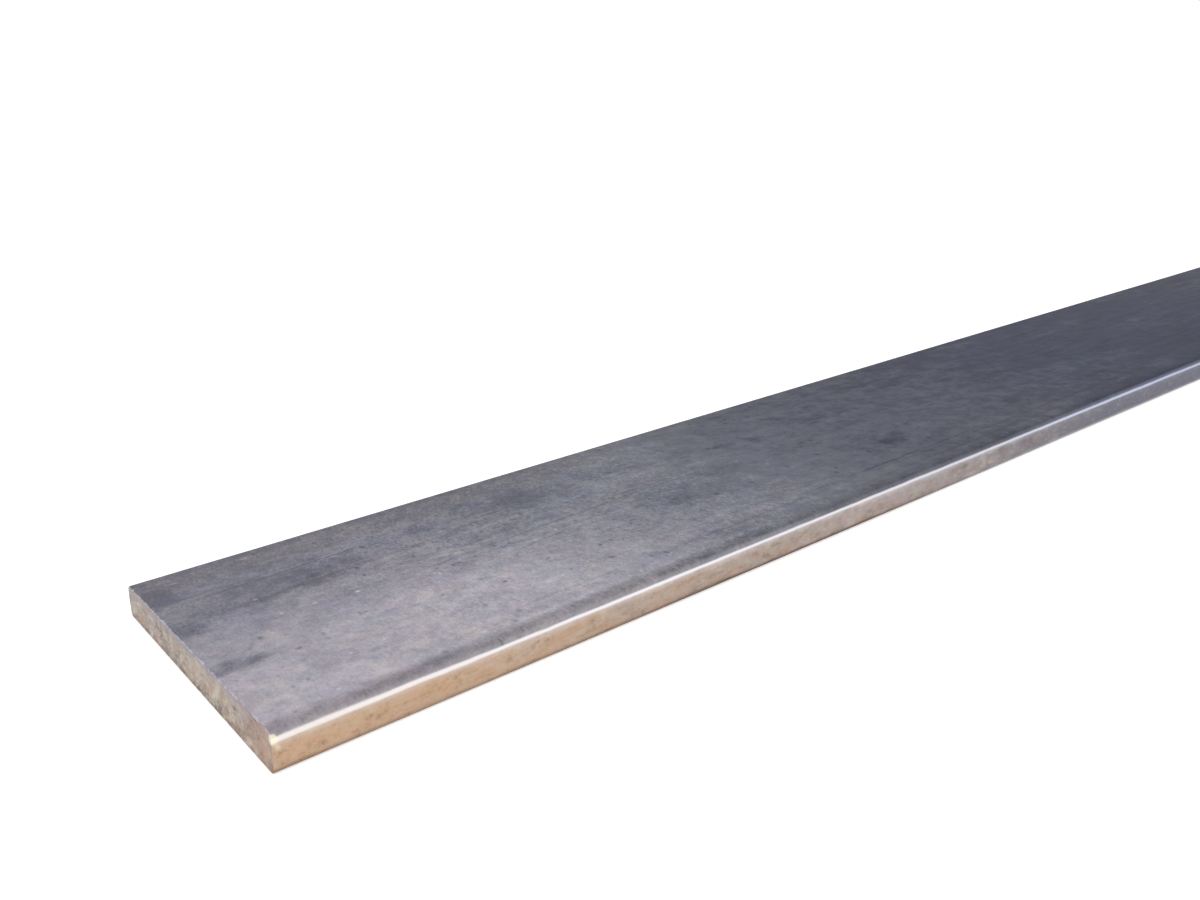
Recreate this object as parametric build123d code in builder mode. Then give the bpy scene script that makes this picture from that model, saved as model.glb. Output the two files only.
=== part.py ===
from build123d import *

import os
from math import radians, tan

# Hot-rolled mild steel flat bar, a cut length as sold over the counter.
# The bar lies flat: X runs along its length, Y across its width and Z up through its
# thickness. The origin is the middle of the underside.

# Section, as rolled (mm)
BAR_WIDTH = 100.0
BAR_THICKNESS = 8.0
EDGE_CROWN = 0.5  # how far each rolled edge bulges at mid-thickness
TOP_CORNER_RADIUS = 1.5  # the fuller corners, from the edging pass
BOTTOM_CORNER_RADIUS = 1.2

# Length, as cut (mm, degrees)
BAR_LENGTH = 1000.0
NEAR_CUT_LEAN = 5.0  # the saw wandered, so this end is longer along the underside

half_width = BAR_WIDTH / 2
corner_y = half_width - EDGE_CROWN
mid_z = BAR_THICKNESS / 2
near_x = -BAR_LENGTH / 2
far_x = BAR_LENGTH / 2
lean_setback = BAR_THICKNESS * tan(radians(NEAR_CUT_LEAN))


def outer_corners(sketch, row):
    """The two end corners of a row of the section's corners: row 0 is the lowest, -1 the highest."""
    corners = sketch.vertices().group_by(Axis.Y)[row].sort_by(Axis.X)
    return [corners[0], corners[-1]]


with BuildPart() as flat_bar:
    # Half of the section is drawn and mirrored about the middle of the width. On Plane.YZ
    # the sketch's x runs along the bar's Y and its y along the bar's Z.
    with BuildSketch(Plane.YZ.offset(near_x)) as section:
        with BuildLine():
            underside = Line((0, 0), (corner_y, 0))
            rolled_edge = ThreePointArc(underside @ 1, (half_width, mid_z), (corner_y, BAR_THICKNESS))
            Line(rolled_edge @ 1, (0, BAR_THICKNESS))
            mirror(about=Plane.YZ)
        make_face()
        fillet(outer_corners(section, 0), BOTTOM_CORNER_RADIUS)
        fillet(outer_corners(section, -1), TOP_CORNER_RADIUS)
    extrude(amount=far_x - near_x)

    # The near saw cut starts at the underside's end and takes a thin wedge off above it.
    with BuildSketch(Plane.XZ) as saw_wedge:
        with BuildLine():
            Polyline(
                (near_x, 0),
                (near_x + lean_setback, BAR_THICKNESS),
                (near_x, BAR_THICKNESS),
                close=True,
            )
        make_face()
    extrude(amount=half_width, both=True, mode=Mode.SUBTRACT)

flat_bar.part.label = "flat_bar"

os.makedirs("parts", exist_ok=True)
export_step(flat_bar.part, "parts/flat_bar.step")
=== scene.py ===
from math import atan2, cos, exp, hypot, pi, radians, sin, sqrt, tan

import bpy
from bpy.props import FloatProperty, FloatVectorProperty, PointerProperty
from mathutils import Matrix, Vector, noise


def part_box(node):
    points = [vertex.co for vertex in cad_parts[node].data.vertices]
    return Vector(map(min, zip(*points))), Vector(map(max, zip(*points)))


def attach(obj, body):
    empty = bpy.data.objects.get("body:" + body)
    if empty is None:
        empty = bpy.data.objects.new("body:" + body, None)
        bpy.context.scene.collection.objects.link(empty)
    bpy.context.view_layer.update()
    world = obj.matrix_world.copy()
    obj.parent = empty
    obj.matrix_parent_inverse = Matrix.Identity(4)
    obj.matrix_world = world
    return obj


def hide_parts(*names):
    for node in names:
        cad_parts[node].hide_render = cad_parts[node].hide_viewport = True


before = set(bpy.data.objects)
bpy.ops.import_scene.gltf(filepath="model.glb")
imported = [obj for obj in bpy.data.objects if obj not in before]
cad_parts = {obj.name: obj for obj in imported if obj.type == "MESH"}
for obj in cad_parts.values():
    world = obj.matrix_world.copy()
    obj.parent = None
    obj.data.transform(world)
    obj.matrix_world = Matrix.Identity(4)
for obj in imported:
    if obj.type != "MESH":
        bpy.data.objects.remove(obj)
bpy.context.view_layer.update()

bl_info = {
    "name": "Hot-rolled flat bar",
    "version": (1, 0, 0),
    "blender": (4, 5, 0),
    "location": "3D View > Sidebar > Flat Bar",
    "description": "A cut length of mild steel flat bar, with its mill scale, worn corners and sawn ends",
    "category": "Object",
}

# The bar lies along X with its wide faces up and down. "Along" is measured from the near
# end, "in from the front" from the edge at -Y, and heights from the underside.
BAR_LOW, BAR_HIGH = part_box("flat_bar")
BAR_LENGTH = BAR_HIGH.x - BAR_LOW.x
HALF_WIDTH = (BAR_HIGH.y - BAR_LOW.y) / 2
THICKNESS = BAR_HIGH.z - BAR_LOW.z
MM = 0.001


def paint(red, green, blue):
    """A colour from 0 to 255 code values, as the scene-linear numbers that shaders take."""
    shares = (red / 255, green / 255, blue / 255)
    return tuple(s / 12.92 if s <= 0.04045 else ((s + 0.055) / 1.055) ** 2.4 for s in shares)


# ---------------------------------------------------------------- what a user may change


def size_of(name, description, size):
    return FloatProperty(name=name, description=description, default=size, unit="LENGTH", precision=5)


def angle_of(name, description, degrees):
    return FloatProperty(name=name, description=description, default=radians(degrees), subtype="ANGLE")


def power_of(name, description, watts):
    return FloatProperty(name=name, description=description, default=watts, unit="POWER")


def colour_of(name, description, *code_values):
    colour = paint(*code_values)
    return FloatVectorProperty(
        name=name, description=description, default=colour, subtype="COLOR", size=3, min=0, max=1
    )


class FlatBarShape(bpy.types.PropertyGroup):
    """Sizes of the section and of the two saw cuts."""

    edge_crown: size_of("Edge crown", "How far each rolled edge bulges at mid-thickness", 0.5 * MM)
    top_corner: size_of("Top corner radius", "Radius of the two upper long corners", 1.5 * MM)
    low_corner: size_of("Lower corner radius", "Radius of the two lower long corners", 1.2 * MM)
    cut_lean: angle_of("Cut lean", "Lean of the near saw cut, halfway across", 5.0)
    cut_twist: angle_of(
        "Cut twist", "How much more the near cut leans at the front and less at the back", 0.6
    )
    saw_pitch: size_of("Saw pitch", "Distance from one saw mark to the next", 1.6 * MM)
    saw_depth: size_of("Saw depth", "Depth of the saw marks", 0.07 * MM)
    saw_slant: angle_of("Saw slant", "Slant of the saw marks to the width", 9.0)
    cut_break: size_of("Broken edge", "How far the sharp edge of a cut is rubbed down", 0.12 * MM)
    arris_wear: size_of(
        "Arris wear", "How much further the near cut's upper edge is rubbed down", 0.26 * MM
    )
    burr: size_of("Burr", "How far the burr fills out the near cut's front upper corner", 0.4 * MM)
    waver: size_of("Edge waver", "How far the rolled edges stray from straight", 0.04 * MM)


class FlatBarFinish(bpy.types.PropertyGroup):
    """Colours of the scale, the rust, the worn corners and the cuts."""

    # Besides the scale's own tones, these carry painted sheen by the near end and painted shade far from
    # it; the pale one stands partly for polish and partly for painted sheen.
    scale_dark: colour_of("Dark scale", "Mill scale far from the near end", 54, 58, 78)
    scale_grey: colour_of("Grey scale", "Mill scale between the dark and the pale", 112, 115, 127)
    scale_pale: colour_of("Pale scale", "Mill scale that handling has polished", 168, 166, 176)
    scale_light: colour_of("Lightest scale", "The palest spots of the scale", 204, 199, 204)
    # A tan that fades along the rolled edges away from a cut.
    edge_tan: colour_of("Flash rust", "Thin rust on the rolled edges by a cut", 220, 186, 156)
    rust_orange: colour_of("Orange rust", "Fresher rust in patches under the bright strip", 205, 158, 112)
    # Brown rust in spots, also used as painted shade along the lower corner of the sides.
    brown_rust_and_shade: colour_of("Brown rust", "Older rust in spots and along the lower corner", 116, 90, 74)
    # Bare steel with a painted highlight: the pale strip along the upper corners and the flecks on the near
    # cut's worn edge.
    bare_steel_and_highlight: colour_of("Bright steel", "Steel rubbed bare along the upper corners", 236, 229, 226)
    # The bare burr with a painted highlight on it.
    burr_and_highlight: colour_of("Burr", "The burr at the near cut's front upper corner", 250, 240, 218)
    sawn_steel: colour_of("Sawn steel", "The sawn ends", 184, 168, 160)


class FlatBarStage(bpy.types.PropertyGroup):
    """The pale floor and the soft light."""

    floor_white: colour_of("Floor", "Colour of the floor", 235, 235, 235)
    sky_light: FloatProperty(name="Sky light", description="Light from all round", default=0.66, min=0)
    key_power: power_of("Key power", "The large soft lamp", 5.5)
    fill_power: power_of("Fill power", "The lamp on the other side", 3.0)


# ---------------------------------------------------------------- shader maths


class Value:
    """A socket of a shader's node tree, on which Python's operators add Math nodes."""

    def __init__(self, shader, socket):
        self.shader = shader
        self.socket = socket

    def output(self, name):
        return Value(self.shader, self.socket.node.outputs[name])

    def __add__(self, other):
        return self.shader.maths("ADD", self, other)

    def __sub__(self, other):
        return self.shader.maths("SUBTRACT", self, other)

    def __rsub__(self, other):
        return self.shader.maths("SUBTRACT", other, self)

    def __mul__(self, other):
        return self.shader.maths("MULTIPLY", self, other)

    def __truediv__(self, other):
        return self.shader.maths("DIVIDE", self, other)

    def __rtruediv__(self, other):
        return self.shader.maths("DIVIDE", other, self)

    __radd__ = __add__
    __rmul__ = __mul__


def opaque(colour):
    """What a colour socket takes: a colour with its alpha, or another socket as it is."""
    return colour if isinstance(colour, Value) else (*colour, 1.0)


class Shader:
    """A node tree that is built by naming nodes, their settings and what feeds their sockets."""

    def __init__(self, tree):
        self.tree = tree
        tree.nodes.clear()

    def node(self, kind, settings=None, sockets=None, output=0):
        """Adds a node: its settings first, then the values or links of its sockets."""
        made = self.tree.nodes.new(kind)
        for name, value in (settings or {}).items():
            if name == "stops":
                self.set_stops(made.color_ramp, value)
            else:
                setattr(made, name, value)
        for name, value in (sockets or {}).items():
            if isinstance(value, Value):
                self.tree.links.new(value.socket, made.inputs[name])
            else:
                made.inputs[name].default_value = value
        return Value(self, made.outputs[output]) if made.outputs else made

    def set_stops(self, ramp, stops):
        while len(ramp.elements) < len(stops):
            ramp.elements.new(1.0)
        for element, (position, colour) in zip(ramp.elements, stops):
            element.position = position
            element.color = opaque(colour)

    def maths(self, operation, first, second):
        return self.node("ShaderNodeMath", {"operation": operation}, {0: first, 1: second})

    def vector(self, operation, first, second=(0, 0, 0), output=0):
        return self.node("ShaderNodeVectorMath", {"operation": operation}, {0: first, 1: second}, output)

    def length(self, vector):
        return self.vector("LENGTH", vector, output="Value")

    def size(self, value):
        return self.node("ShaderNodeMath", {"operation": "ABSOLUTE"}, {0: value})

    def larger(self, first, second):
        return self.maths("MAXIMUM", first, second)

    def join(self, x, y, z=0.0):
        return self.node("ShaderNodeCombineXYZ", None, {0: x, 1: y, 2: z})

    def rise(self, value, start, end):
        """0 below start and 1 above end, with a soft step between; it falls where end is the lower."""
        settings = {"interpolation_type": "SMOOTHSTEP"}
        if end > start:
            return self.node("ShaderNodeMapRange", settings, {0: value, 1: start, 2: end, 3: 0.0, 4: 1.0})
        return self.node("ShaderNodeMapRange", settings, {0: value, 1: end, 2: start, 3: 1.0, 4: 0.0})

    def band(self, value, low, high, soft):
        """1 between low and high, with soft edges of that width outside them."""
        return self.rise(value, low - soft, low) * self.rise(value, high + soft, high)

    def noise(self, place, size, detail=3.0, roughness=0.5, output=0):
        """Cloudy noise from 0 to 1 whose lumps have that size along each axis."""
        scaled = self.vector("DIVIDE", place, size)
        sockets = {"Vector": scaled, "Scale": 1.0, "Detail": detail, "Roughness": roughness}
        return self.node("ShaderNodeTexNoise", None, sockets, output)

    def cells(self, place, size):
        """Distance to the nearest of the points scattered over a face, one in each cell of that size."""
        sockets = {"Vector": self.vector("DIVIDE", place, size), "Scale": 1.0}
        return self.node("ShaderNodeTexVoronoi", {"voronoi_dimensions": "2D"}, sockets)

    def ramp(self, value, stops):
        """The colour at that value, between stops that are given as position and colour."""
        return self.node("ShaderNodeValToRGB", {"stops": stops}, {0: value})

    def blend(self, factor, first, second, kind="MIX"):
        """Goes from the first colour to the second, or to their product, as the factor rises to 1."""
        settings = {"data_type": "RGBA", "blend_type": kind, "clamp_factor": True}
        return self.node("ShaderNodeMix", settings, {0: factor, 6: opaque(first), 7: opaque(second)}, 2)

    def tint(self, colour, by, factor=1.0):
        """Multiplies a colour by another, as far as the factor says."""
        return self.blend(factor, colour, by, "MULTIPLY")


def new_material(name):
    """A material with an empty node tree, and the shader that fills it."""
    material = bpy.data.materials.new(name)
    material.use_nodes = True
    return material, Shader(material.node_tree)


# ---------------------------------------------------------------- the section and its mesh

TOP_CORNER_SPANS = 7
SIDE_SPANS = 10
LOW_CORNER_SPANS = 5
EDGE_SPANS = TOP_CORNER_SPANS + SIDE_SPANS + LOW_CORNER_SPANS
FLAT_SPANS = 48  # across each wide face, along most of the bar


def arc(centre, radius, start, end, spans):
    """Points of an arc after its first."""
    points = []
    for step in range(1, spans + 1):
        angle = start + (end - start) * step / spans
        points.append((centre[0] + radius * cos(angle), centre[1] + radius * sin(angle)))
    return points


def rolled_edge(shape, splits):
    """The back edge's outline as (y, z), from the end of the top flat down to the underside's."""
    half_height = THICKNESS / 2
    crown_radius = (shape.edge_crown**2 + half_height**2) / (2 * shape.edge_crown)
    crown = (HALF_WIDTH - crown_radius, half_height)

    def corner(radius, rise):
        reach = sqrt((crown_radius - radius) ** 2 - rise**2)
        return (crown[0] + reach, half_height + rise), atan2(rise, reach)

    top, top_angle = corner(shape.top_corner, half_height - shape.top_corner)
    low, low_angle = corner(shape.low_corner, shape.low_corner - half_height)
    return (
        [(top[0], THICKNESS)]
        + arc(top, shape.top_corner, pi / 2, top_angle, TOP_CORNER_SPANS * splits)
        + arc(crown, crown_radius, top_angle, low_angle, SIDE_SPANS * splits)
        + arc(low, shape.low_corner, low_angle, -pi / 2, LOW_CORNER_SPANS * splits)
    )


class Fineness:
    """How many spans a ring of the section has: on each wide face and down each edge."""

    def __init__(self, flat_splits=1, edge_splits=1):
        self.flat_splits = flat_splits
        self.edge_splits = edge_splits
        self.flat = FLAT_SPANS * flat_splits
        self.edge = EDGE_SPANS * edge_splits

    def ring(self, shape):
        """The whole section as a loop of (y, z): top, back edge, underside, front edge."""
        edge = rolled_edge(shape, self.edge_splits)
        top_end, low_end = edge[0][0], edge[-1][0]
        top = [(top_end * (2 * i / self.flat - 1), THICKNESS) for i in range(self.flat)]
        low = [(low_end * (1 - 2 * i / self.flat), 0.0) for i in range(self.flat)]
        front = [(-y, z) for y, z in reversed(edge[1:])]
        return top + edge[:-1] + low + front

    def side(self, span):
        """Which side of the bar a span of the ring lies on."""
        if span < self.flat:
            return "top"
        if span < self.flat + self.edge:
            return "back"
        return "under" if span < 2 * self.flat + self.edge else "front"


BODY = Fineness()
NEAR_END = Fineness(flat_splits=8, edge_splits=2)
FAR_END = Fineness(flat_splits=4)


class Mill:
    """Collects the bar's vertices and faces."""

    def __init__(self, shape):
        self.shape = shape
        self.points = []
        self.bare = []
        self.faces = []
        self.sides = []

    def add_point(self, point, bare=0.0):
        self.points.append(point)
        self.bare.append(bare)
        return len(self.points) - 1

    def add_face(self, corners, side, end):
        """Adds a face whose corners run the way that suits the far end; the near one's is turned."""
        self.faces.append(corners if end > 0 else corners[::-1])
        self.sides.append(side)


# Nicks in the near cut's top edge: how far in from the front edge, half length, depth
NICKS = (
    (95.0 * MM, 0.9 * MM, 0.10 * MM),
    (83.0 * MM, 0.9 * MM, 0.16 * MM),
    (72.0 * MM, 1.2 * MM, 0.26 * MM),
    (67.5 * MM, 0.7 * MM, 0.18 * MM),
    (64.5 * MM, 0.9 * MM, 0.20 * MM),
    (52.5 * MM, 0.7 * MM, 0.12 * MM),
    (39.0 * MM, 1.1 * MM, 0.22 * MM),
    (24.0 * MM, 0.6 * MM, 0.10 * MM),
    (3.0 * MM, 1.0 * MM, 0.16 * MM),
)


# Noise in the mesh. On the cuts: the size of its lumps along and across, and its own slice.
WEAR_LUMPS = (4 * MM, 1.0, 5.0)
WEAR_CHIPS = (1.3 * MM, 1.0, 8.0)
SAW_DRIFT = (7 * MM, 2.5 * MM, 3.0)
SAW_TORN = (2.2 * MM, 1.3 * MM, 7.0)
SAW_GRAIN = (1.0 * MM, 0.7 * MM, 9.0)

# On the skin: the size of its lumps along X, Y and Z.
SLOW_WAVER = (70 * MM, 40 * MM, 6 * MM)
QUICK_WAVER = (9 * MM, 6 * MM, 3 * MM)

# The near cut's burr: its middle, as distances from the cut, from the front and down from the
# top; how far it spreads along and around; and how far from the cut it has died out.
BURR_MIDDLE = (0.9 * MM, 0.3 * MM, 1.0 * MM)
BURR_SPREAD = (1.2 * MM, 0.9 * MM)
BURR_END = 6 * MM

# How far in from a cut its lean has died out of the rings; how far back a rubbed edge is rounded,
# in times its depth; and the depth at which it is wholly bare steel, on the skin and on the rim.
LEAN_REACH = 12 * MM
RUB_REACH = 1.5
BARE_SKIN_DEPTH = 0.3 * MM
BARE_RIM_DEPTH = 0.4 * MM


def lumps(first, second, size):
    """Smooth noise from about -1 to 1 at a place on a face, as lumps of that size."""
    return noise.noise(Vector((first / size[0], second / size[1], size[2])))


def arris_rub(shape, end, y, z):
    """How far the sharp edge of a cut is rubbed down here, more along the near cut's top edge."""
    top_share = (z - 0.85 * THICKNESS) / (0.15 * THICKNESS)  # 0 to 1 over the top of the thickness
    if end > 0 or top_share <= 0:
        return shape.cut_break
    uneven = 0.5 + 1.2 * lumps(y, 0.0, WEAR_LUMPS) + 1.1 * lumps(y, 0.0, WEAR_CHIPS)
    nick = 0.0
    for inward, half_length, depth in NICKS:
        away = abs(y + HALF_WIDTH - inward) / half_length
        if away < 1:
            nick = max(nick, depth * (1 - away * away))
    return shape.cut_break + top_share * (shape.arris_wear * max(0.0, uneven) + nick)


def saw_wave(shape, y, z):
    """Height of the saw marks and the torn grain at a place on a cut, from about -1 to 1."""
    across_marks = y * sin(shape.saw_slant) + z * cos(shape.saw_slant)
    along_marks = y * cos(shape.saw_slant) - z * sin(shape.saw_slant)
    strayed_by = 5.0 * lumps(along_marks, across_marks, SAW_DRIFT)
    teeth = sin(2 * pi * across_marks / shape.saw_pitch + strayed_by)
    torn = lumps(along_marks, across_marks, SAW_TORN)
    grain = lumps(along_marks, across_marks, SAW_GRAIN)
    return 0.25 * teeth + torn + 0.6 * grain


def burr_height(shape, x, y, z):
    """How far the burr stands out at the near cut's front upper corner."""
    if y > -0.9 * HALF_WIDTH or x > BAR_LOW.x + BURR_END:
        return 0.0
    from_cut, inward, down = BURR_MIDDLE
    along = (x - BAR_LOW.x - from_cut) / BURR_SPREAD[0]
    around = hypot(y + HALF_WIDTH - inward, z - THICKNESS + down) / BURR_SPREAD[1]
    return shape.burr * exp(-along * along - around * around)


def waver(shape, x, y, z):
    """How far the rolled skin strays outward at a place on it."""
    near_edge = max(0.0, abs(y) / HALF_WIDTH - 0.9) * 10  # 0 to 1 over the last tenth
    place = (x, y, z)
    slow = noise.noise(Vector([part / size for part, size in zip(place, SLOW_WAVER)]))
    quick = noise.noise(Vector([part / size for part, size in zip(place, QUICK_WAVER)]))
    return shape.waver * (0.7 * slow + 0.5 * near_edge * quick)


def skin_point(shape, x, y, z, inset=0.0):
    """A place on the rolled skin, moved along the section's own outward direction."""
    flat_half = HALF_WIDTH - shape.top_corner
    out_y = 0.0 if abs(y) < flat_half else (abs(y) - flat_half) / shape.top_corner * (1 if y > 0 else -1)
    out_z = (z - THICKNESS / 2) / (THICKNESS / 2)
    size = hypot(out_y, out_z) or 1.0
    move = waver(shape, x, y, z) - shape.waver - inset + burr_height(shape, x, y, z)
    return Vector((x, y + move * out_y / size, z + move * out_z / size))


def cut_x(shape, end, y, z):
    """Where the cut stands here: the near one leans, more at the front, and the far one is square."""
    if end > 0:
        return BAR_HIGH.x
    lean = shape.cut_lean - shape.cut_twist * y / HALF_WIDTH
    return BAR_LOW.x + THICKNESS * tan(shape.cut_lean) - (THICKNESS - z) * tan(lean)


def sawn_x(shape, end, y, z):
    """Where the surface of the cut stands here, with its saw marks, which go inward only."""
    return cut_x(shape, end, y, z) - end * shape.saw_depth * (1 + saw_wave(shape, y, z)) * 0.5


def add_ring(mill, fineness, end, offset):
    """A ring of the skin at this distance in from a cut."""
    shape = mill.shape
    outermost = BAR_LOW.x if end < 0 else BAR_HIGH.x
    leaning = max(0.0, 1 - offset / LEAN_REACH)
    made = []
    for y, z in fineness.ring(shape):
        x = outermost + (cut_x(shape, end, y, z) - outermost) * leaning - end * offset
        rub = arris_rub(shape, end, y, z)
        drop = rub * max(0.0, 1 - offset / (RUB_REACH * rub)) ** 2
        made.append(mill.add_point(skin_point(shape, x, y, z, drop), min(1.0, drop / BARE_SKIN_DEPTH)))
    return made


def add_cut_rim(mill, fineness, end):
    """The rim of a cut, just inside the skin where the sharp edge is broken."""
    shape = mill.shape
    made = []
    for y, z in fineness.ring(shape):
        rub = arris_rub(shape, end, y, z)
        rim_point = skin_point(shape, sawn_x(shape, end, y, z), y, z, rub)
        made.append(mill.add_point(rim_point, min(1.0, rub / BARE_RIM_DEPTH)))
    return made


def bridge(mill, fineness, first, second, end, side=None):
    """Quads between two rings of as many points."""
    count = len(first)
    for i in range(count):
        after = (i + 1) % count
        corners = [first[i], first[after], second[after], second[i]]
        mill.add_face(corners, side or fineness.side(i), end)


def step_down(mill, fineness, fine, coarse, end):
    """Joins a fine ring to a coarse one: each coarse span takes several fine ones."""
    i = 0
    for j in range(len(coarse)):
        side = BODY.side(j)
        spans = fineness.flat_splits if side in ("top", "under") else fineness.edge_splits
        near_side = [fine[(i + k) % len(fine)] for k in range(spans + 1)]
        mill.add_face(near_side + [coarse[(j + 1) % len(coarse)], coarse[j]], side, end)
        i += spans


def fill_cut(mill, fineness, rim, end, side):
    """Fills the rim of a cut with a grid that follows its outline and carries the saw marks."""
    shape = mill.shape
    flat, edge = fineness.flat, fineness.edge
    top = [rim[i] for i in range(flat + 1)]
    back = [rim[flat + j] for j in range(edge + 1)]
    low = [rim[2 * flat + edge - i] for i in range(flat + 1)]
    front = [rim[-j] for j in range(edge + 1)]
    place = mill.points

    def inner(i, j):
        u, v = i / flat, j / edge
        edges = place[top[i]] * (1 - v) + place[low[i]] * v + place[front[j]] * (1 - u) + place[back[j]] * u
        high_corners = place[top[0]] * (1 - u) + place[top[-1]] * u
        low_corners = place[low[0]] * (1 - u) + place[low[-1]] * u
        spot = edges - high_corners * (1 - v) - low_corners * v
        spot.x = sawn_x(shape, end, spot.y, spot.z)
        return mill.add_point(spot)

    grid = [top]
    for j in range(1, edge):
        grid.append([front[j]] + [inner(i, j) for i in range(1, flat)] + [back[j]])
    grid.append(low)
    for upper, lower in zip(grid, grid[1:]):
        for i in range(flat):
            mill.add_face([upper[i], lower[i], lower[i + 1], upper[i + 1]], side, end)


# Distances from a cut at which the fine skin behind it has a ring.
END_STATIONS = tuple(d * MM for d in (0.1, 0.25, 0.45, 0.8, 1.2, 1.7, 2.4, 3.4, 5.0))

# The rings between the two ends: the gap to an end's last ring, the first step between rings in
# mm, how much longer it grows, and the length over which it does.
BODY_GAP = 2 * MM
FIRST_STEP = 1.5
STEP_GROWTH = 2.5
GROWTH_LENGTH = 500 * MM

SHARP_ANGLE = radians(50)


def add_end(mill, fineness, end, side):
    """One end of the bar: the cut, its broken edge and the fine skin behind it. Returns its last ring."""
    previous = add_cut_rim(mill, fineness, end)
    fill_cut(mill, fineness, previous, end, side)
    for offset in END_STATIONS:
        ring = add_ring(mill, fineness, end, offset)
        bridge(mill, fineness, previous, ring, end, side if offset == END_STATIONS[0] else None)
        previous = ring
    return previous


def body_stations():
    """Distances from the near end at which the long faces have a ring, finer near that end."""
    stations = []
    place = END_STATIONS[-1] + BODY_GAP
    while place < BAR_LENGTH - END_STATIONS[-1] - BODY_GAP:
        stations.append(place)
        place += (FIRST_STEP + STEP_GROWTH * min(1.0, place / GROWTH_LENGTH)) * MM
    return stations


def bar_mesh(shape):
    """The whole bar as one closed mesh."""
    mill = Mill(shape)
    near_last = add_end(mill, NEAR_END, -1, "near_cut")
    rings = [add_ring(mill, BODY, -1, station) for station in body_stations()]
    step_down(mill, NEAR_END, near_last, rings[0], -1)
    for ring, after in zip(rings, rings[1:]):
        bridge(mill, BODY, ring, after, -1)
    far_last = add_end(mill, FAR_END, 1, "far_cut")
    step_down(mill, FAR_END, far_last, rings[-1], 1)
    mesh = bpy.data.meshes.new("rolled_bar")
    mesh.from_pydata(mill.points, [], mill.faces)
    if mesh.validate():
        raise RuntimeError("the bar's mesh had faces that had to be mended")
    mesh.polygons.foreach_set("material_index", [int(side.endswith("cut")) for side in mill.sides])
    bare = mesh.attributes.new("bare", "FLOAT", "POINT")
    bare.data.foreach_set("value", mill.bare)
    lay_out(mesh, mill)
    mesh.shade_smooth()
    mesh.set_sharp_from_angle(angle=SHARP_ANGLE)
    return mesh


# The square map that the finish can be baked into, and the strips of the skin on it: the side,
# the stretch of the bar in mm, the strip's left and lower pixel, and pixels to a mm each way.
MAP_PIXELS = 1024
MAP_FOOT = 1.6  # mm that a rolled edge's map has below height 0, for the rounding of its corner
MAP_STRIPS = (
    ("top", 0, 400, 4, 2, 2.5, 2.3),
    ("top", 400, 800, 4, 228, 2.5, 2.3),
    ("top", 800, 1000, 4, 454, 2.5, 2.3),
    ("under", 0, 500, 516, 454, 1.0, 1.08),
    ("under", 500, 1000, 516, 566, 1.0, 1.08),
    ("back", 0, 400, 4, 682, 2.5, 3.4),
    ("back", 400, 800, 4, 723, 2.5, 3.4),
    ("back", 800, 1000, 4, 764, 2.45, 3.4),
    ("front", 800, 1000, 514, 764, 2.45, 3.4),
    ("front", 0, 400, 4, 805, 2.5, 3.4),
    ("front", 400, 800, 4, 846, 2.5, 3.4),
    ("near_cut", 0, 1000, 4, 888, 10.0, 9.6),
    ("far_cut", 0, 1000, 4, 970, 10.0, 5.0),
)


def unrolled(side, point):
    """A point's place on its own side in mm: along it and across it."""
    along = (point.x - BAR_LOW.x) / MM
    inward = (point.y + HALF_WIDTH) / MM
    if side in ("top", "under"):
        return along, inward
    height = point.z / MM
    if side in ("near_cut", "far_cut"):
        return inward, height
    rounding = (HALF_WIDTH - abs(point.y)) / MM
    return along, height + (rounding if point.z > THICKNESS / 2 else -rounding) + MAP_FOOT


def lay_out(mesh, mill):
    """Gives each face its place on the map."""
    places = []
    for face, side in zip(mill.faces, mill.sides):
        spots = [unrolled(side, mill.points[corner]) for corner in face]
        middle = sum(mill.points[corner].x for corner in face) / len(face)
        stretch = min(999.0, max(0.0, (middle - BAR_LOW.x) / MM))  # strips end before 1000
        for name, start, end, left, low, along_scale, across_scale in MAP_STRIPS:
            if name == side and start <= stretch < end:
                begin = 0 if side.endswith("cut") else start
                for along, across in spots:
                    places.append((left + (along - begin) * along_scale) / MAP_PIXELS)
                    places.append((low + across * across_scale) / MAP_PIXELS)
    mesh.uv_layers.new(name="OFBake").data.foreach_set("uv", places)


# ---------------------------------------------------------------- finishes


class BarPlaces:
    """Where a point of the bar is, in millimetres, as sockets."""

    def __init__(self, shader):
        coordinates = shader.node("ShaderNodeTexCoord", output="Object")
        self.spot = shader.vector("MULTIPLY", coordinates, (1 / MM, 1 / MM, 1 / MM))
        split = shader.node("ShaderNodeSeparateXYZ", None, {0: self.spot}, "X")
        self.along = split - BAR_LOW.x / MM
        self.from_end = shader.maths("MINIMUM", self.along, BAR_LENGTH / MM - self.along)
        self.inward = split.output("Y") + HALF_WIDTH / MM
        self.height = split.output("Z")
        self.from_side = HALF_WIDTH / MM - shader.size(split.output("Y"))


# Colours that lie between those a user may change, or beside them.
SLATE_SCALE = paint(38, 40, 60)
PALE_RUST = paint(232, 214, 200)
PALE_BLOTCH = paint(222, 210, 202)
GREY_RUST = paint(186, 178, 172)
# A painted pale foot far from the cuts, standing in for light from the floor.
FLOOR_LIGHT_RIM = paint(226, 226, 232)
SKIN_ARRIS = paint(205, 200, 212)
CUT_ARRIS = paint(206, 200, 212)
CUT_DARK = paint(118, 99, 92)
CUT_LIGHT = paint(228, 220, 204)
CUT_PINK = paint(196, 165, 150)
CUT_GREY = paint(182, 176, 172)
CUT_GREEN = paint(206, 204, 180)
CUT_LILAC = paint(168, 162, 176)
CUT_TAN = paint(206, 170, 146)

# Both finishes mirror weakly.
SPECULAR_LEVEL = 0.1
SPECULAR_TINT = (0.2, 0.2, 0.21, 1.0)

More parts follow.
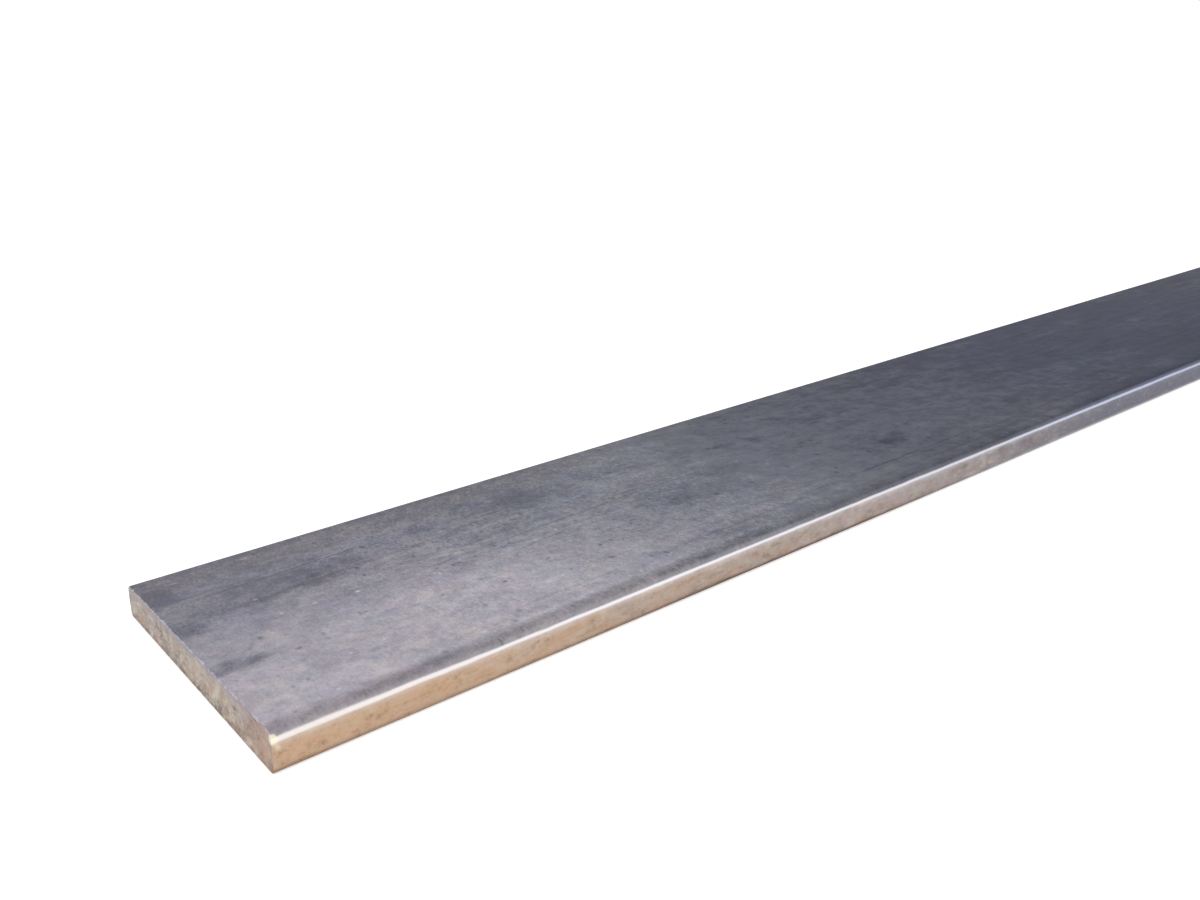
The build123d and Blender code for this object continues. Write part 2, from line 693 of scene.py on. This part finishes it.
# Tints, which multiply a colour.
COOLER = (0.90, 0.955, 1.0)
WARMER = (1.0, 0.962, 0.90)
PURPLER = (1.0, 0.96, 1.0)
GREENER = (0.97, 1.0, 0.97)
HANDLED = (1.05, 1.01, 1.03)
BLUER = (0.92, 0.92, 1.03)
BAND_WARMTH = (1.06, 1.0, 0.94)
RUST_GREENER = (0.96, 1.0, 0.97)
RUST_PINKER = (1.0, 0.955, 0.975)

# How the tan and the bright strip, a painted highlight on bare steel, of a rolled edge change with
# the distance from a cut. Each share is of the reach before it, in mm.
EDGE_TAN_REACH = 270
EDGE_TAN_FADE = (
    (0.2, paint(214, 187, 165)),
    (0.42, paint(194, 177, 167)),
    (0.65, paint(188, 177, 176)),
    (0.85, paint(152, 147, 154)),
    (1.0, paint(134, 134, 148)),
)
STRIP_REACH = 280
STRIP_FADE = (
    (0.3, paint(244, 241, 246)),
    (0.55, paint(234, 233, 239)),
    (0.75, paint(222, 223, 233)),
    (1.0, paint(210, 217, 240)),
)

# Up a rolled edge, in mm: the middle of the bright strip (a painted highlight on bare steel), its
# least half width, its soft border, and the heights between which the rust under it gives way to scale.
STRIP_HEIGHT = 6.4
STRIP_HALF = 0.09
STRIP_SOFT = 0.55
RUST_TOP = (6.75, 6.3)

# Where the burr, with its painted highlight, shows on the skin and on the cut: along, in from the front,
# height (mm).
BURR_ON_SKIN = (0.95, 0.2, 6.6)
BURR_ON_CUT = (0, 0.2, 6.7)

# Soft patches of the top face, in mm: along, in from the front, half length, half width, and
# how much lighter or darker they are.
PATCHES = (
    (30, 69, 22, 9, -0.05),
    (37, 70, 12, 6, -0.03),
    (26, 62, 20, 3, -0.07),
    (98, 76, 8, 11, -0.07),
    (68, 75, 5, 4, -0.05),
    (84, 80, 6, 5, -0.05),
    (130, 37, 17, 11, -0.05),
    (126, 37, 5, 6, -0.05),
    (149, 48, 8, 8, -0.045),
    (145, 38, 3, 12, -0.03),
    (3, 82, 6, 8, -0.09),
    (3, 58, 5, 6, -0.08),
    (5, 32, 10, 3.5, -0.15),
    (62, 42, 9, 5, -0.03),
    (167.5, 64, 3.5, 3.5, -0.08),
    (177.5, 61, 5, 4, -0.06),
    (199, 71, 5, 9, -0.045),
    (206, 62, 7, 6, -0.05),
    (199, 25, 4, 4, -0.08),
    (205, 30, 5, 3, -0.06),
    (256, 23, 5, 4, -0.06),
    (48, 30, 30, 10, 0.03),
    (126, 49, 14, 6, -0.025),
    (122, 65, 10, 6, 0.03),
    (132, 16, 22, 5, 0.03),
    (150, 84, 16, 8, 0.025),
)

# Thin lines along the top face, in mm: from, to, in from the front at each, width, strength.
LINES = (
    (7, 53, 74.5, 76, 0.4, -0.08),
    (9, 40, 77.5, 77.5, 0.35, -0.06),
    (7, 70, 61.5, 65, 0.7, -0.05),
    (57, 120, 48, 51, 0.4, -0.08),
    (60, 300, 11, 10.5, 0.5, -0.05),
    (150, 420, 6, 6, 0.6, -0.03),
    (72, 128, 54, 56, 0.5, -0.05),
    (66, 112, 45, 44, 0.4, -0.05),
    (150, 216, 12.6, 12.6, 0.5, -0.06),
    (163, 206, 31.5, 31.5, 0.4, 0.05),
    (174, 190, 13, 13, 0.5, -0.07),
    (83, 88, 41, 41.4, 0.5, -0.1),
    (50, 110, 7.0, 9.5, 1.2, -0.035),
    (2, 80, 3.6, 3.6, 1.1, -0.03),
    (250, 420, 9.0, 9.0, 4.0, 0.03),
    (60, 130, 4.8, 4.8, 0.7, 0.03),
    (90, 160, 18, 17, 0.35, -0.04),
)

# Single pits, rust spots and bright flecks (painted glints) of the top face, in mm: along, in from
# the front, half length, half width, and how much lighter or darker they are.
SPOTS = (
    (20, 63, 0.8, 1.0, 0.16),
    (38.5, 48, 1.1, 0.9, 0.17),
    (21.5, 50, 0.7, 0.8, 0.12),
    (29, 49.5, 0.7, 0.8, 0.12),
    (91, 44.5, 0.8, 0.8, 0.15),
    (83.5, 42, 0.6, 0.7, 0.12),
    (56.5, 42.5, 0.6, 0.8, 0.11),
    (27.5, 93.5, 1.2, 0.7, 0.12),
    (9, 90.5, 1.6, 0.8, 0.10),
    (74.5, 18, 0.8, 0.6, 0.12),
    (158.5, 49, 0.8, 0.8, 0.12),
    (210.5, 20.5, 0.9, 0.8, 0.12),
    (17.5, 29.5, 1.0, 0.8, -0.14),
    (35, 35.5, 0.8, 0.7, -0.13),
    (62.5, 44.5, 1.6, 0.5, -0.15),
    (64, 25.5, 0.8, 0.8, -0.16),
    (78.5, 29.5, 0.9, 0.7, -0.14),
    (107.5, 34, 0.9, 0.8, -0.14),
    (66, 62.5, 1.2, 0.7, -0.13),
    (92, 62.5, 0.9, 1.0, -0.13),
    (52, 75, 1.0, 2.0, -0.10),
    (44.5, 62, 0.7, 1.6, -0.13),
    (35.5, 66.5, 2.6, 2.2, -0.09),
    (28, 16.5, 2.0, 1.4, -0.06),
    (134.5, 31.5, 1.4, 1.1, -0.15),
    (125, 37.5, 1.8, 0.8, -0.10),
    (147, 31, 1.2, 2.6, -0.07),
    (177.5, 61, 2.0, 1.2, -0.08),
    (197, 25, 2.0, 1.4, -0.07),
)

# Pits of two sizes: the cells they are scattered in (mm), how few of those hold one, how dark.
PITS = (
    ((3.4, 6.0, 1), 0.76, 1.0),
    ((1.4, 2.2, 1), 0.66, 0.5),
)
SPECK_CELLS = (8.0, 8.0, 1)

# Stains of a sawn cut, in mm: from and to, in from the front edge; from and to, up the
# thickness; how much paler.
CUT_STAINS = (
    (2, 9, 6.2, 8.0, 0.1),
    (11, 19, 1.3, 2.8, -0.17),
    (22, 28, 2.0, 3.1, 0.13),
    (41, 49, 0.9, 2.3, -0.13),
)


def soft_marks(shader, place, marks, inner, outer):
    """Sums oval marks, each full inside the inner share of its size and gone past the outer."""
    tone = 0.0
    for along, inward, half_length, half_width, change in marks:
        away = shader.vector("SUBTRACT", place, (along, inward, 0))
        away = shader.vector("DIVIDE", away, (half_length, half_width, 1))
        tone = shader.rise(shader.length(away), outer, inner) * change + tone
    return tone


def strayed(shader, places, size, reach):
    """The place on the top face, shifted by noise, so that outlines drawn from it are ragged."""
    drift = shader.noise(places.spot, size, 4.0, 0.7, output="Color")
    drift = shader.vector("SUBTRACT", drift, (0.5, 0.5, 0.5))
    drift = shader.vector("MULTIPLY", drift, reach)
    return shader.vector("ADD", shader.join(places.along, places.inward), drift)


def line_tone(shader, places):
    """Draws the thin rolling lines and scratches of the top face."""
    wobble = (shader.noise(places.spot, (14, 6, 6), 2.0) - 0.5) * 1.2
    broken = shader.noise(places.spot, (5, 1.2, 1), 4.0, 0.8)
    tone = 0.0
    for start, end, first, last, width, change in LINES:
        slope = (last - first) / (end - start)
        off_line = shader.size(places.inward - (first + (places.along - start) * slope) + wobble)
        drawn = shader.rise(off_line, width * 1.8, width * 0.4)
        tone = drawn * shader.band(places.along, start, end, 6) * change + tone
    return tone * shader.rise(broken, 0.3, 0.62)


def scale_tone(shader, places):
    """How light the mill scale is, from slate far off to lavender-grey by the near end's front: partly the
    scale's own tone, partly painted sheen near the end and painted shade far off.
    """
    # The lightening towards the near end and its front is rubbed scale and painted sheen together.
    nearer = shader.rise(places.along, 205, 125) * 0.6 + shader.rise(places.along, 345, 180) * 0.4
    rubbed = shader.rise(places.along, 138, 60) * shader.rise(places.inward, 78, 8)
    handled_and_sheen = shader.rise(places.along, 100, 50)
    cloud = shader.noise(places.spot, (42, 18, 18), 2.0) - 0.5
    even = nearer * 0.272 + rubbed * 0.185 + handled_and_sheen * 0.03 + 0.215 - cloud * (nearer * 0.13 - 0.2)
    even = even - shader.rise(places.along, 260, 360) * 0.02 + shader.rise(places.along, 420, 800) * 0.08

    mottle = shader.noise(places.spot, (9, 9, 9), 2.0, 1.0) - 0.5
    grain = shader.noise(places.spot, (1.4, 2.3, 2.3), 5.0, 1.0) - 0.5
    fine = shader.noise(places.spot, (0.7, 1.6, 1.6), 2.0, 0.9) - 0.5
    streak = shader.noise(places.spot, (60, 1.4, 1.4), 3.0, 0.7) - 0.5
    streaked = shader.band(places.along, 60, 140, 50) * shader.band(places.inward, 44, 72, 10)
    speckled = shader.band(places.along, 55, 125, 30) * 0.12
    drawn = streak * (streaked * 0.12 + 0.035)
    drawn = drawn + fine * (speckled + nearer * 0.16 + 0.08) * (1 - rubbed * 0.45)
    return even + mottle * 0.24 + grain * (speckled + nearer * 0.25 + 0.14) + drawn


def edge_shade_tone(shader, places):
    """Painted shade: a dark band along each side of the wide faces, standing in for the dark that the
    rounded corners mirror, and where it lies.
    """
    wander = (shader.noise(places.spot, (22, 5, 5), 4.0, 0.7) - 0.5) * 2.4
    front = shader.rise(places.inward, 60, 40)
    width = 7.5 - front * 2.0
    band = shader.rise((places.from_side + wander) / width, 1.0, 0.25)
    depth = shader.rise(places.from_end, 200, 50) * (front * 0.065 + 0.04) + front * 0.035
    deepest = shader.band(places.from_end, 20, 50, 14) * front * 0.03
    back = shader.rise(places.inward, 80, 88) * shader.rise(places.from_end, 160, 120)
    return band * (depth + deepest) * -1 - back * 0.03, shader.larger(band, back * 0.8)


def scattered(shader, place, size):
    """Distance to the nearest of the middles scattered in cells, and that cell's random colour."""
    cell = shader.cells(place, size)
    return cell, shader.node("ShaderNodeSeparateColor", None, {0: cell.output("Color")})


def pitting(shader, place):
    """Dark pits on a face, given its own two coordinates."""
    pits = 0.0
    for size, chosen, strength in PITS:
        cell, kind = scattered(shader, place, size)
        wide = kind.output("Green") * 0.12 + 0.10
        pit = shader.rise(cell / wide, 1.2, 0.3) * shader.rise(kind, chosen, 1.0)
        pits = pit * strength + pits
    return pits


def painted_glint_specks(shader, place):
    """Pale flecks, which are painted glints, on a face, given its own two coordinates."""
    cell, kind = scattered(shader, place, SPECK_CELLS)
    return shader.rise(cell, 0.08, 0.03) * shader.rise(kind, 0.6, 1.0)


def tinted(shader, places, colour):
    """Lets a colour drift in warmth and in greenness; it is pinker by the near end, bluer far off."""
    warm = (shader.noise(places.spot, (17, 9, 9), 2.0, 0.8) - 0.5) * 1.6 + 0.5
    green = (shader.noise(places.spot, (9, 6, 6), 1.0, 0.7) - 0.5) * 2.0 + 0.5
    colour = shader.tint(colour, HANDLED, shader.rise(places.along, 150, 10))
    colour = shader.tint(colour, BLUER, shader.band(places.along, 330, 430, 80))
    colour = shader.tint(colour, shader.blend(warm, COOLER, WARMER))
    return shader.tint(colour, shader.blend(green, PURPLER, GREENER))


def scale_colour(shader, places, finish, pits, glint_specks):
    """Mill scale with its patches, spots, lines, pits and pale flecks, whose lightness is painted glint,
    and a painted-shade band along its edges.
    """
    soft_place = strayed(shader, places, (11, 7, 7), (16, 10, 0))
    sharp_place = strayed(shader, places, (1.6, 1.2, 1.2), (1.6, 1.2, 0))
    marks = soft_marks(shader, soft_place, PATCHES, 0.35, 1.25) + line_tone(shader, places)
    marks = marks + soft_marks(shader, sharp_place, SPOTS, 0.3, 1.0)
    on_top = shader.rise(places.height, THICKNESS / MM * 0.4, THICKNESS / MM * 0.6)
    # The dark band along each edge of the wide faces is painted shade.
    rolled, edge_shade_band = edge_shade_tone(shader, places)
    tone = scale_tone(shader, places) + rolled + marks * on_top - pits * 0.11 + glint_specks * 0.09
    stops = (
        (0.06, SLATE_SCALE),
        (0.22, finish.scale_dark),
        (0.453, finish.scale_grey),
        (0.655, finish.scale_pale),
        (0.785, finish.scale_light),
    )
    scale = tinted(shader, places, shader.ramp(tone, stops))
    warm_band = shader.band(places.from_side, 3, 13, 8) * shader.rise(places.from_end, 100, 230) * 0.5
    return shader.tint(scale, BAND_WARMTH, shader.larger(warm_band, edge_shade_band))


def edge_tan_colour(shader, places, finish):
    """The rolled edges under the bright strip: tan by a cut, greyer away from it."""
    wander = shader.noise(places.spot, (30, 12, 4), 4.0, 0.6) - 0.5
    stops = ((0.04, finish.edge_tan), *EDGE_TAN_FADE)
    rust = shader.ramp((places.from_end + wander * 60) / EDGE_TAN_REACH, stops)
    fading = shader.rise(places.from_end, 300, 90)
    mottle = shader.noise(places.spot, (2.6, 1.7, 1.7), 4.0, 0.8)
    strength = fading * 0.3 + 0.2
    rust = shader.blend(shader.rise(mottle, 0.5, 0.76) * strength, rust, finish.brown_rust_and_shade)
    rust = shader.blend(shader.rise(mottle, 0.5, 0.25) * strength, rust, PALE_RUST)
    blotch = shader.noise(places.spot, (11, 5, 4), 3.0, 0.8)
    far_off = shader.band(places.from_end, 120, 210, 80) * 0.5
    rust = shader.blend(shader.rise(blotch, 0.5, 0.72) * far_off, rust, finish.brown_rust_and_shade)
    rust = shader.blend(shader.rise(blotch, 0.5, 0.3) * far_off, rust, PALE_BLOTCH)
    orange = shader.noise(places.spot, (9, 3, 2), 4.0, 0.75)
    rust = shader.blend(shader.rise(orange, 0.47, 0.7) * fading * 0.45, rust, finish.rust_orange)
    rust = shader.blend(shader.rise(orange, 0.47, 0.28) * 0.5, rust, GREY_RUST)
    pink = (shader.noise(places.spot, (2.4, 1.3, 1.3), 3.0, 0.7) - 0.5) * 3.2 + 0.5
    return shader.tint(rust, shader.blend(pink, RUST_GREENER, RUST_PINKER))


def side_colour(shader, places, finish, ragged, steel):
    """The side of a rolled edge: rust with spots, painted shade as a brown line at its foot, a painted
    highlight spreading down from the bright strip above, and a foot painted pale by the floor's light far
    from the cuts.
    """
    pits = pitting(shader, shader.join(places.along, places.height * 1.6))
    spotted = shader.band(places.height, 4.4, 5.4, 0.9) * 0.25 + 0.2
    rust = shader.blend(pits * spotted, edge_tan_colour(shader, places, finish), finish.brown_rust_and_shade)
    strength = 0.5 + shader.band(places.from_end, 100, 155, 20) * 0.35
    strength = strength - shader.band(places.from_end, 15, 40, 10) * 0.12
    strength = strength - shader.rise(places.from_end, 165, 215) * 0.4
    # Painted shade: a brown line along the foot of the side.
    foot = shader.rise(places.height + ragged * 0.8, 1.6, 0.5)
    rust = shader.blend(foot * strength, rust, finish.brown_rust_and_shade)
    # Painted highlight: the bright strip's colour spreads down the side.
    highlight_spill = 0.4 - shader.rise(places.from_end, 190, 270) * 0.3
    rust = shader.blend(shader.rise(places.height + ragged * 1.5, 4.5, 6.4) * highlight_spill, rust, steel)
    # Painted floor light: far from the cuts the foot turns pale.
    rim = shader.rise(places.height, 1.5, 0.3) * shader.rise(places.from_end, 175, 260) * 0.75
    return shader.blend(rim, rust, FLOOR_LIGHT_RIM)


def edge_shares(shader, places, ragged):
    """How much of the bright strip, of the glint above it and of the rusty side shows here; the strip and
    the glint are painted highlight on bare steel.
    """
    edge = shader.rise(places.from_side, 2.2, 1.2)
    slimmer = shader.band(places.from_end, 15, 190, 20)
    middle = shader.rise(places.from_end, 60, 20) * 0.12 - slimmer * 0.05 + STRIP_HEIGHT
    half_width = shader.rise(places.from_end, 70, 0) * 0.18 - slimmer * 0.03 + STRIP_HALF
    off_strip = shader.size(places.height - middle + ragged * 0.4)
    strip = shader.rise(off_strip - half_width, STRIP_SOFT, 0.0) * edge
    shine = shader.rise(places.from_end, 40, 200) * 0.14 + shader.rise(places.from_end, 220, 290) * 0.1
    shine = shine + shader.rise(places.from_end, 18, 4) * 0.12
    shine = shine + shader.band(places.from_end, 20, 125, 20) * 0.17
    glint = shader.rise(places.height, 8.0, 7.1) * edge * shine
    side = shader.rise(places.height + ragged * 0.3, *RUST_TOP) * edge
    return strip, glint, side


def burr_share(shader, places, ragged):
    """Where the burr and the smear below it show on the skin, as bare metal with a painted highlight."""
    away = shader.join(places.along, places.inward, places.height)
    away = shader.vector("SUBTRACT", away, BURR_ON_SKIN)
    burr = shader.rise(shader.length(away) + ragged * 0.8, 1.15, 0.8)
    smear = shader.band(places.along + ragged, 1.3, 1.6, 0.6) * shader.band(places.height, 5.0, 6.0, 1.0)
    return shader.larger(burr, smear * 0.5 * shader.rise(places.inward, 2.0, 1.0))


def rubbed_bare(shader):
    """How far the mesh says that a cut's edge is rubbed bare."""
    return shader.node("ShaderNodeAttribute", {"attribute_name": "bare"}, output="Fac")


def rolled_skin(finish):
    """Mill scale on the wide faces, bare steel with a painted highlight along the upper corners, and a tan
    side with rust below it.
    """
    material, shader = new_material("rolled_skin")
    places = BarPlaces(shader)
    top_place = shader.join(places.along, places.inward)
    pits = pitting(shader, top_place)
    glint_specks = painted_glint_specks(shader, top_place)
    ragged = shader.noise(places.spot, (10, 3, 1.6), 4.0, 0.7) - 0.5
    strip, glint, side = edge_shares(shader, places, ragged)
    # The bright strip's colour is bare steel with a painted highlight, dimming away from a cut.
    steel = shader.ramp(places.from_end / STRIP_REACH, ((0.0, finish.bare_steel_and_highlight), *STRIP_FADE))
    colour = shader.blend(glint, scale_colour(shader, places, finish, pits, glint_specks), steel)
    colour = shader.blend(side, colour, side_colour(shader, places, finish, ragged, steel))
    colour = shader.blend(strip, colour, steel)
    colour = shader.blend(burr_share(shader, places, ragged), colour, finish.burr_and_highlight)
    worn = shader.rise(rubbed_bare(shader), 0.05, 0.6) * shader.rise(places.height, 5.5, 7.0)
    colour = shader.blend(worn * 0.8, colour, SKIN_ARRIS)

    grain = shader.noise(places.spot, (0.9, 0.6, 0.6), 3.0, 0.7) - 0.5
    roughness = shader.noise(places.spot, (20, 4, 4), 3.0) * 0.16 + grain * 0.2 + 0.46
    roughness = roughness + side * 0.08 - strip * 0.22
    metallic = 0.12 - side * 0.04 + strip * 0.7
    relief = grain * 0.7 - pits * 0.8 + glint_specks * 0.6
    finish_surface(shader, colour, roughness, metallic, relief, 0.02 * MM)
    return material


def sawn_tone(shader, places, turned, torn, fine):
    """How light a sawn cut is: torn grain, soft clouds and stains."""
    cloudier = shader.rise(places.inward, 55, 40) * 1.4 + 0.8
    cloud = (shader.noise(turned, (50, 12, 6), 2.0) - 0.5) * cloudier
    paler = shader.band(places.inward, 32, 50, 10) * 0.05 + shader.band(places.inward, 60, 96, 8) * 0.07
    paler = paler + shader.band(places.inward, 80, 91, 4) * 0.06
    for low, high, bottom, top, lift in CUT_STAINS:
        stain = shader.band(places.inward, low, high, 2) * shader.band(places.height, bottom, top, 0.6)
        paler = paler + stain * lift
    return torn * 2.6 + fine * 0.5 + cloud + paler + 0.48


def sawn_colour(shader, places, finish, turned, torn, fine):
    """Tan-grey that drifts to pink, grey and green, lilac above, and browner at the foot."""
    stops = ((0.0, CUT_DARK), (0.5, finish.sawn_steel), (1.0, CUT_LIGHT))
    base = shader.ramp(sawn_tone(shader, places, turned, torn, fine), stops)
    hue = shader.noise(turned, (50, 10, 5), 2.0, 0.5)
    base = shader.blend(shader.rise(hue, 0.5, 0.66) * 0.65, base, CUT_PINK)
    base = shader.blend(shader.rise(hue, 0.48, 0.34) * 0.6, base, CUT_GREY)
    green = shader.rise(torn, -0.03, 0.1) * (shader.band(places.inward, 28, 56, 10) * 0.4 + 0.1)
    base = shader.blend(green, base, CUT_GREEN)
    base = shader.blend(shader.rise(places.height + torn * 4, 4.8, 8.2) * 0.6, base, CUT_LILAC)
    base = shader.blend(shader.rise(places.inward, 24, 2) * 0.45, base, CUT_TAN)
    return shader.blend(shader.rise(places.height + torn * 6, 2.0, 0.2) * 0.4, base, finish.brown_rust_and_shade)


def sawn_cut(shape, finish):
    """The sawn ends, streaked along the saw marks, with a bare worn edge above that carries painted glints,
    and the burr with its painted highlight.
    """
    material, shader = new_material("sawn_cut")
    places = BarPlaces(shader)
    turning = {"Vector": places.spot, "Angle": shape.saw_slant}
    turned = shader.node("ShaderNodeVectorRotate", {"rotation_type": "X_AXIS"}, turning)
    torn = shader.noise(turned, (50, 3.6, 1.9), 4.0, 0.85) - 0.5
    fine = shader.noise(turned, (50, 0.9, 0.6), 2.0, 0.7) - 0.5
    colour = sawn_colour(shader, places, finish, turned, torn, fine)
    bare = rubbed_bare(shader)
    worn = shader.rise(bare, 0.3, 0.6) * shader.rise(places.height, 5.5, 7.0)
    flakes = shader.noise(places.spot, (50, 1.6, 50), 3.0, 0.8)
    colour = shader.blend(worn * 0.7, colour, CUT_ARRIS)
    # Flecks of painted glint on the worn edge.
    colour = shader.blend(worn * shader.rise(flakes, 0.48, 0.64), colour, finish.bare_steel_and_highlight)
    away = shader.vector("SUBTRACT", shader.join(0, places.inward, places.height), BURR_ON_CUT)
    burr = shader.rise(shader.length(away) + torn, 1.15, 0.75) * shader.rise(places.along, 9, 6)
    colour = shader.blend(burr, colour, finish.burr_and_highlight)
    roughness = fine * 0.25 + 0.5 - bare * 0.2
    metallic = 0.2 + bare * 0.4
    finish_surface(shader, colour, roughness, metallic, fine + torn, 0.03 * MM)
    return material


def finish_surface(shader, colour, roughness, metallic, relief, depth):
    """Ends a material: its surface, with fine relief of that depth."""
    bump = shader.node("ShaderNodeBump", None, {"Strength": 1.0, "Distance": depth, "Height": relief})
    sockets = {
        "Base Color": colour,
        "Roughness": roughness,
        "Metallic": metallic,
        "Normal": bump,
        "Specular IOR Level": SPECULAR_LEVEL,
        "Specular Tint": SPECULAR_TINT,
    }
    surface = shader.node("ShaderNodeBsdfPrincipled", None, sockets)
    shader.node("ShaderNodeOutputMaterial", None, {"Surface": surface})


# ---------------------------------------------------------------- stage

CAMERA_PLACE = (-0.54263, -0.21602, 0.0957)
CAMERA_HEADING = radians(54.537)  # from +X towards +Y
CAMERA_DIP = radians(15.337)
CAMERA_ROLL = radians(6.064)
CAMERA_LENS = 31.303
CAMERA_SENSOR = 36.0
CAMERA_NEAREST = 0.01
KEY_PLACE = (-0.9, -0.8, 1.1)
KEY_AIM = (BAR_LOW.x + 0.2, 0, 0)
FILL_PLACE = (0.9, 0.9, 1.2)
FILL_AIM = (0, 0, 0)
LAMP_SIZE = (1.2, 0.9)
FLOOR_HALF = 6.0
BACKDROP_GLOW = 0.5  # what the floor adds to its own colour, as seen


def seen_directly(shader):
    """1 for rays that show the white background: from the camera, mirrored or passed through."""
    path = shader.node("ShaderNodeLightPath", output="Is Camera Ray")
    seen = shader.larger(path, path.output("Is Glossy Ray"))
    return shader.larger(seen, path.output("Is Transmission Ray"))


def add_camera():
    level = cos(CAMERA_DIP)
    forward = Vector((level * cos(CAMERA_HEADING), level * sin(CAMERA_HEADING), -sin(CAMERA_DIP)))
    level_right = forward.cross(Vector((0, 0, 1))).normalized()
    level_down = forward.cross(level_right)
    right = level_right * cos(CAMERA_ROLL) + level_down * sin(CAMERA_ROLL)
    down = level_down * cos(CAMERA_ROLL) - level_right * sin(CAMERA_ROLL)
    data = bpy.data.cameras.new("camera")
    data.lens = CAMERA_LENS
    data.sensor_width = CAMERA_SENSOR
    data.clip_start = CAMERA_NEAREST
    camera = bpy.data.objects.new("camera", data)
    turn = Matrix((right, -down, -forward)).transposed().to_4x4()
    camera.matrix_world = Matrix.Translation(CAMERA_PLACE) @ turn
    bpy.context.scene.collection.objects.link(camera)
    bpy.context.scene.camera = camera


def add_lamp(name, place, aim, power):
    data = bpy.data.lights.new(name, "AREA")
    data.shape = "RECTANGLE"
    data.size, data.size_y = LAMP_SIZE
    data.energy = power
    lamp = bpy.data.objects.new(name, data)
    lamp.location = place
    lamp.rotation_euler = (Vector(aim) - Vector(place)).to_track_quat("-Z", "Y").to_euler()
    bpy.context.scene.collection.objects.link(lamp)


def add_floor(stage):
    mesh = bpy.data.meshes.new("floor")
    corners = [(x * FLOOR_HALF, y * FLOOR_HALF, BAR_LOW.z) for x, y in ((-1, -1), (1, -1), (1, 1), (-1, 1))]
    mesh.from_pydata(corners, [], [(0, 1, 2, 3)])
    material, shader = new_material("white_floor")
    paper = shader.node("ShaderNodeBsdfDiffuse", None, {"Color": opaque(stage.floor_white)})
    shining = {"Color": (1, 1, 1, 1), "Strength": seen_directly(shader) * BACKDROP_GLOW}
    glow = shader.node("ShaderNodeEmission", None, shining)
    both = shader.node("ShaderNodeAddShader", None, {0: paper, 1: glow})
    shader.node("ShaderNodeOutputMaterial", None, {"Surface": both})
    mesh.materials.append(material)
    floor = bpy.data.objects.new("floor", mesh)
    bpy.context.scene.collection.objects.link(floor)


def light_sky(stage):
    world = bpy.data.worlds.new("white_room")
    world.use_nodes = True
    shader = Shader(world.node_tree)
    seen = seen_directly(shader)
    strength = seen * (1 - stage.sky_light) + stage.sky_light
    sky = shader.node("ShaderNodeBackground", None, {"Color": (1, 1, 1, 1), "Strength": strength})
    shader.node("ShaderNodeOutputWorld", None, {"Surface": sky})
    bpy.context.scene.world = world


# ---------------------------------------------------------------- operators and panel


class FLATBAR_OT_roll_bar(bpy.types.Operator):
    """Make the bar with its scale, worn corners and sawn ends"""

    bl_idname = "flatbar.roll_bar"
    bl_label = "Roll the bar"

    def execute(self, context):
        shape = context.scene.flat_bar_shape
        finish = context.scene.flat_bar_finish
        mesh = bar_mesh(shape)
        if not mesh.polygons:
            raise RuntimeError("the bar came out without faces")
        mesh.materials.append(rolled_skin(finish))
        mesh.materials.append(sawn_cut(shape, finish))
        bar = bpy.data.objects.new("rolled_bar", mesh)
        context.scene.collection.objects.link(bar)
        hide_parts("flat_bar")
        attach(bar, "root")
        return {"FINISHED"}


class FLATBAR_OT_set_stage(bpy.types.Operator):
    """Lay the white floor, hang the soft lamps and set up the camera"""

    bl_idname = "flatbar.set_stage"
    bl_label = "Set the stage"

    def execute(self, context):
        stage = context.scene.flat_bar_stage
        add_floor(stage)
        light_sky(stage)
        add_lamp("key_lamp", KEY_PLACE, KEY_AIM, stage.key_power)
        add_lamp("fill_lamp", FILL_PLACE, FILL_AIM, stage.fill_power)
        add_camera()
        context.scene.view_settings.view_transform = "Standard"
        return {"FINISHED"}


class FLATBAR_PT_panel(bpy.types.Panel):
    """Buttons and settings of the flat bar"""

    bl_idname = "FLATBAR_PT_panel"
    bl_label = "Flat Bar"
    bl_space_type = "VIEW_3D"
    bl_region_type = "UI"
    bl_category = "Flat Bar"

    def draw(self, context):
        for group in ("flat_bar_shape", "flat_bar_finish", "flat_bar_stage"):
            settings = getattr(context.scene, group)
            box = self.layout.box()
            for name in settings.__annotations__:
                box.prop(settings, name)
        self.layout.operator(FLATBAR_OT_roll_bar.bl_idname)
        self.layout.operator(FLATBAR_OT_set_stage.bl_idname)


CLASSES = (
    FlatBarShape,
    FlatBarFinish,
    FlatBarStage,
    FLATBAR_OT_roll_bar,
    FLATBAR_OT_set_stage,
    FLATBAR_PT_panel,
)


def register():
    for made in CLASSES:
        bpy.utils.register_class(made)
    bpy.types.Scene.flat_bar_shape = PointerProperty(type=FlatBarShape)
    bpy.types.Scene.flat_bar_finish = PointerProperty(type=FlatBarFinish)
    bpy.types.Scene.flat_bar_stage = PointerProperty(type=FlatBarStage)


def unregister():
    del bpy.types.Scene.flat_bar_stage
    del bpy.types.Scene.flat_bar_finish
    del bpy.types.Scene.flat_bar_shape
    for made in reversed(CLASSES):
        bpy.utils.unregister_class(made)


def main():
    register()
    bpy.ops.flatbar.roll_bar()
    bpy.ops.flatbar.set_stage()


if __name__ == "__main__":
    main()
